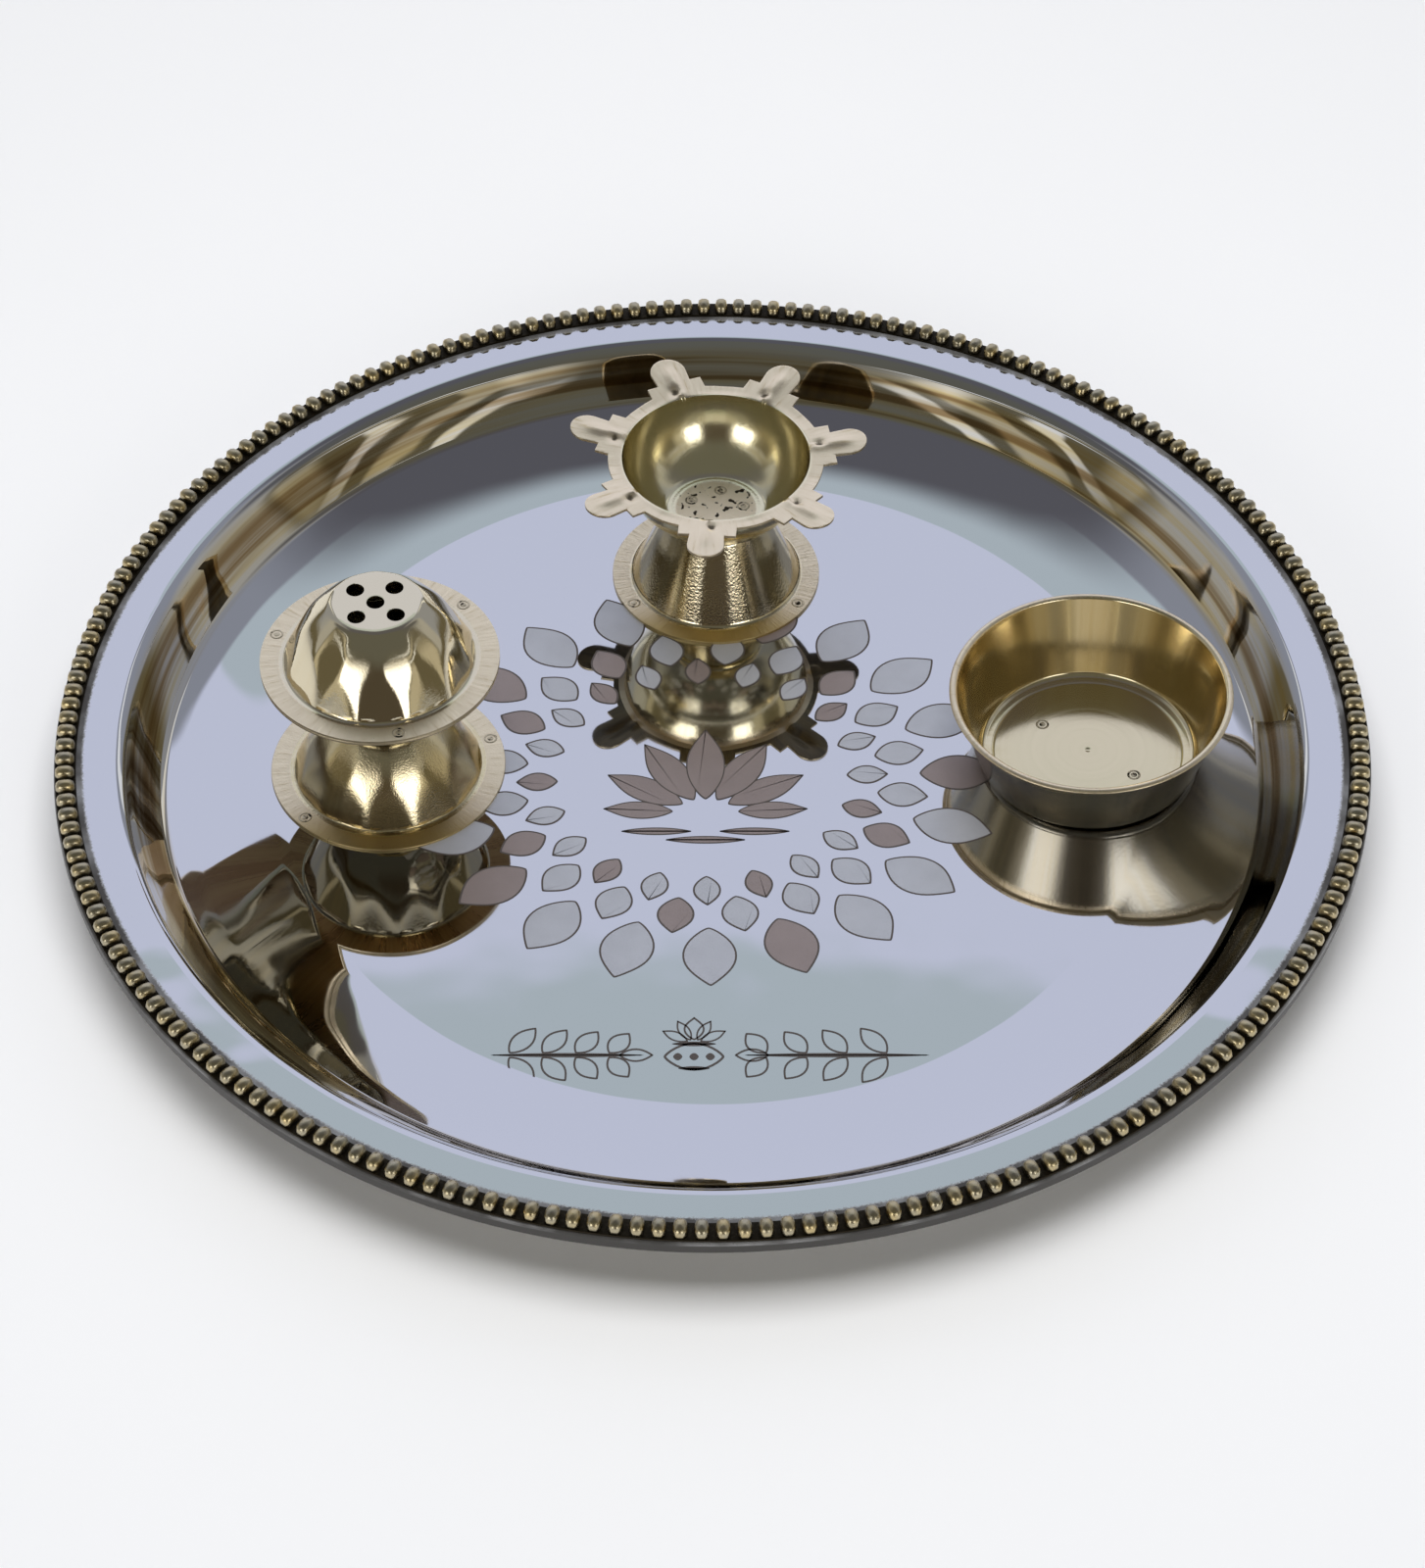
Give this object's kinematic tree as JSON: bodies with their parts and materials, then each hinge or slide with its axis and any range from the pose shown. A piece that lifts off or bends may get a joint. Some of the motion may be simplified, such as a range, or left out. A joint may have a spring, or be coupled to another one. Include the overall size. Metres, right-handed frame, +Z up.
{
  "type": "puja thali",
  "caption": "Round mirror-finished tray with a beaded rim and welded brass fittings: an oil lamp with a petal rim, a small cup and a domed incense holder.",
  "frame": {"origin": "centre of the plate's flat underside", "axes": "+Z up; +Y towards the oil lamp at the back; the cup is at +X and the incense holder at -X"},
  "size_m": [0.28, 0.28, 0.0497],
  "materials": {
    "mirror_steel": "mirror polished sheet steel with an etched floor",
    "polished_brass": "bright pressed brass sheet",
    "weld_metal": "heat-tinted spot weld"
  },
  "bodies": {
    "root": {"thali_plate": "mirror_steel", "beaded_rim": "polished_brass", "cup": "polished_brass", "incense_base_dome": "polished_brass", "incense_bowl": "polished_brass", "incense_top_dome": "polished_brass", "diya_base": "polished_brass", "diya_bowl": "polished_brass", "cup_spot_welds": "weld_metal", "incense_base_spot_welds": "weld_metal", "incense_waist_weld": "weld_metal", "incense_flange_spot_welds": "weld_metal", "diya_base_spot_welds": "weld_metal", "diya_bowl_spot_welds": "weld_metal"}
  },
  "joints": []
}
